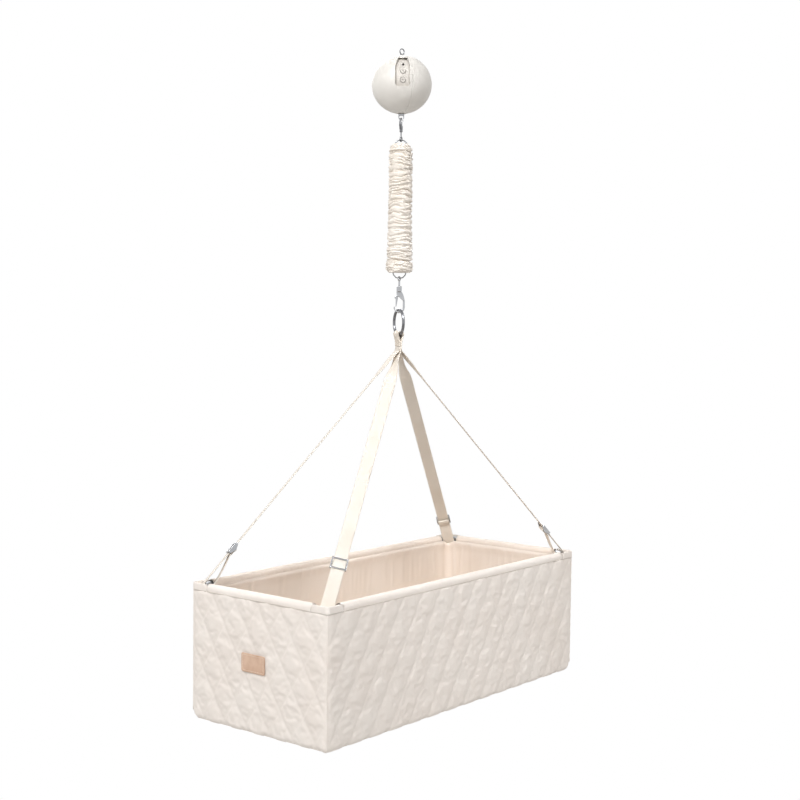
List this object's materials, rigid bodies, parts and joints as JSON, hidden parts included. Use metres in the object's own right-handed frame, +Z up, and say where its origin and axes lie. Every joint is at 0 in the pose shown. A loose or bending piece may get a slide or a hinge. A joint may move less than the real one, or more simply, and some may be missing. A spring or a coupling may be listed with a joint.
{
  "type": "hanging baby cradle",
  "caption": "Quilted box cradle on straps, hung by snap hooks and a sleeved spring from a round drive housing with a ceiling eye.",
  "frame": {"origin": "middle of the hole of the ceiling eye", "axes": "+Z up along the hanging line, +X along the cradle's long side, away from the label's end wall; -Y is the long side that faces the viewer"},
  "size_m": [0.8115, 0.35, 1.3141],
  "materials": {
    "housing_plastic": "satin moulded, pale warm grey",
    "control_plastic": "satin grey keys and panel",
    "lens": "dark clear dome over the lamp",
    "chrome": "bright plated, polished",
    "steel": "plain zinc plated",
    "gear_brass": "machined",
    "bush_nylon": "natural nylon",
    "circuit": "green solder resist",
    "motor_black": "dark sleeve and end cap",
    "sleeve_cloth": "gathered cotton, cream",
    "webbing": "woven cotton webbing, cream",
    "quilt_cloth": "quilted cotton, cream",
    "lining_cloth": "soft jersey, warm beige",
    "board_wood": "thin birch plywood",
    "leather": "pale pink-beige leather"
  },
  "bodies": {
    "housing": {"housing_shell_front": "housing_plastic", "housing_shell_back": "housing_plastic", "housing_screw_1": "steel", "housing_screw_2": "steel", "control_panel": "control_plastic", "status_lens": "lens", "circuit_board": "circuit", "guide_bush": "bush_nylon", "chassis_plate": "steel", "top_eye": "chrome", "eye_collar": "chrome", "eye_nut": "steel", "gear_motor": "motor_black", "battery_pack": "motor_black"},
    "start_button": {"start_button": "control_plastic"},
    "mode_button": {"mode_button": "control_plastic"},
    "pinion": {"drive_pinion": "gear_brass"},
    "drive": {"drive_rod": "steel", "lift_loop": "chrome"},
    "upper_hook": {"upper_hook_body": "chrome"},
    "upper_gate": {"upper_hook_gate": "chrome"},
    "upper_eye": {"upper_hook_eye": "chrome"},
    "spring_top": {"spring_top_loop": "steel", "spring_coil": "steel", "spring_sleeve": "sleeve_cloth"},
    "spring_bottom": {"spring_bottom_loop": "steel"},
    "lower_eye": {"lower_hook_eye": "chrome"},
    "lower_hook": {"lower_hook_body": "chrome"},
    "lower_gate": {"lower_hook_gate": "chrome"},
    "ring": {"carrying_ring": "chrome"},
    "cradle": {"ring_webbing": "webbing", "strap_left": "webbing", "strap_front": "webbing", "strap_back": "webbing", "strap_right": "webbing", "panel_front": "quilt_cloth", "panel_back": "quilt_cloth", "panel_left": "quilt_cloth", "panel_right": "quilt_cloth", "hem_front": "quilt_cloth", "hem_back": "quilt_cloth", "hem_left": "quilt_cloth", "hem_right": "quilt_cloth", "frame_tube_front": "steel", "frame_tube_back": "steel", "frame_bow_left": "steel", "frame_bow_right": "steel", "base_panel": "quilt_cloth", "base_board": "board_wood", "lining": "lining_cloth", "mattress": "lining_cloth", "label_patch": "leather"},
    "slider_left": {"slider_left": "chrome", "strap_end_left": "webbing"},
    "slider_front": {"slider_front": "chrome", "strap_end_front": "webbing"},
    "slider_back": {"slider_back": "chrome", "strap_end_back": "webbing"},
    "slider_right": {"slider_right": "chrome", "strap_end_right": "webbing"}
  },
  "joints": [
    {"name": "drive_stroke", "type": "slide", "parent": "housing", "child": "drive", "axis": [0, 0, -1], "range_m": [0, 0.02]},
    {"name": "pinion_turn", "type": "hinge", "parent": "housing", "child": "pinion", "pos_m": [0.00738, -0.00911, -0.06575], "axis": [-0.7771, -0.6293, 0], "range_deg": [0, 128]},
    {"name": "start_press", "type": "slide", "parent": "housing", "child": "start_button", "axis": [0.723, 0.5855, -0.3668], "range_m": [0, 0.0012], "stiffness_N_per_m": 800},
    {"name": "mode_press", "type": "slide", "parent": "housing", "child": "mode_button", "axis": [0.777, 0.6292, -0.0179], "range_m": [0, 0.0012], "stiffness_N_per_m": 800},
    {"name": "upper_hook_swing", "type": "hinge", "parent": "drive", "child": "upper_hook", "pos_m": [0, 0, -0.1363], "axis": [0.6293, -0.7771, 0], "range_deg": [-20, 20]},
    {"name": "upper_gate_open", "type": "hinge", "parent": "upper_hook", "child": "upper_gate", "pos_m": [0.00163, 0.00041, -0.15046], "axis": [0.2419, -0.9703, 0], "range_deg": [0, 20], "stiffness_Nm_per_rad": 0.02, "springref_deg": -17.19},
    {"name": "upper_swivel_spin", "type": "hinge", "parent": "upper_hook", "child": "upper_eye", "pos_m": [0, 0, -0.165], "axis": [0, 0, 1], "continuous": true},
    {"name": "spring_swing", "type": "hinge", "parent": "upper_eye", "child": "spring_top", "pos_m": [0, 0, -0.1789], "axis": [0.9703, 0.2419, 0], "range_deg": [-15, 15]},
    {"name": "spring_stretch", "type": "slide", "parent": "spring_top", "child": "spring_bottom", "axis": [0, 0, -1], "range_m": [0, 0.06], "stiffness_N_per_m": 900, "springref_m": -0.15, "deforming": ["spring_coil", "spring_sleeve"]},
    {"name": "lower_eye_swing", "type": "hinge", "parent": "spring_bottom", "child": "lower_eye", "pos_m": [0, 0, -0.45515], "axis": [0.6293, -0.7771, 0], "range_deg": [-15, 15]},
    {"name": "lower_swivel_spin", "type": "hinge", "parent": "lower_eye", "child": "lower_hook", "pos_m": [0, 0, -0.476], "axis": [0, 0, 1], "continuous": true},
    {"name": "lower_gate_open", "type": "hinge", "parent": "lower_hook", "child": "lower_gate", "pos_m": [-0.00184, 0.00227, -0.48988], "axis": [-0.7771, -0.6293, 0], "range_deg": [0, 22], "stiffness_Nm_per_rad": 0.05, "springref_deg": -17.19},
    {"name": "ring_swing", "type": "hinge", "parent": "lower_hook", "child": "ring", "pos_m": [0, 0, -0.52365], "axis": [0.6293, -0.7771, 0], "range_deg": [-20, 20]},
    {"name": "cradle_rock", "type": "hinge", "parent": "ring", "child": "cradle", "pos_m": [0, 0, -0.5706], "axis": [0.497, 0.8678, 0], "range_deg": [-10, 10]},
    {"name": "slider_left_slide", "type": "slide", "parent": "cradle", "child": "slider_left", "axis": [0.6328, -0.2587, 0.7299], "range_m": [0, 0.05]},
    {"name": "slider_front_slide", "type": "slide", "parent": "cradle", "child": "slider_front", "axis": [0.6367, 0.262, 0.7252], "range_m": [0, 0.05]},
    {"name": "slider_back_slide", "type": "slide", "parent": "cradle", "child": "slider_back", "axis": [-0.6367, -0.262, 0.7252], "range_m": [0, 0.05]},
    {"name": "slider_right_slide", "type": "slide", "parent": "cradle", "child": "slider_right", "axis": [-0.6328, 0.2587, 0.7299], "range_m": [0, 0.05]}
  ],
  "couplings": [
    {"joint": "pinion_turn", "follows": "drive_stroke", "rad_per_m": 111.11}
  ]
}
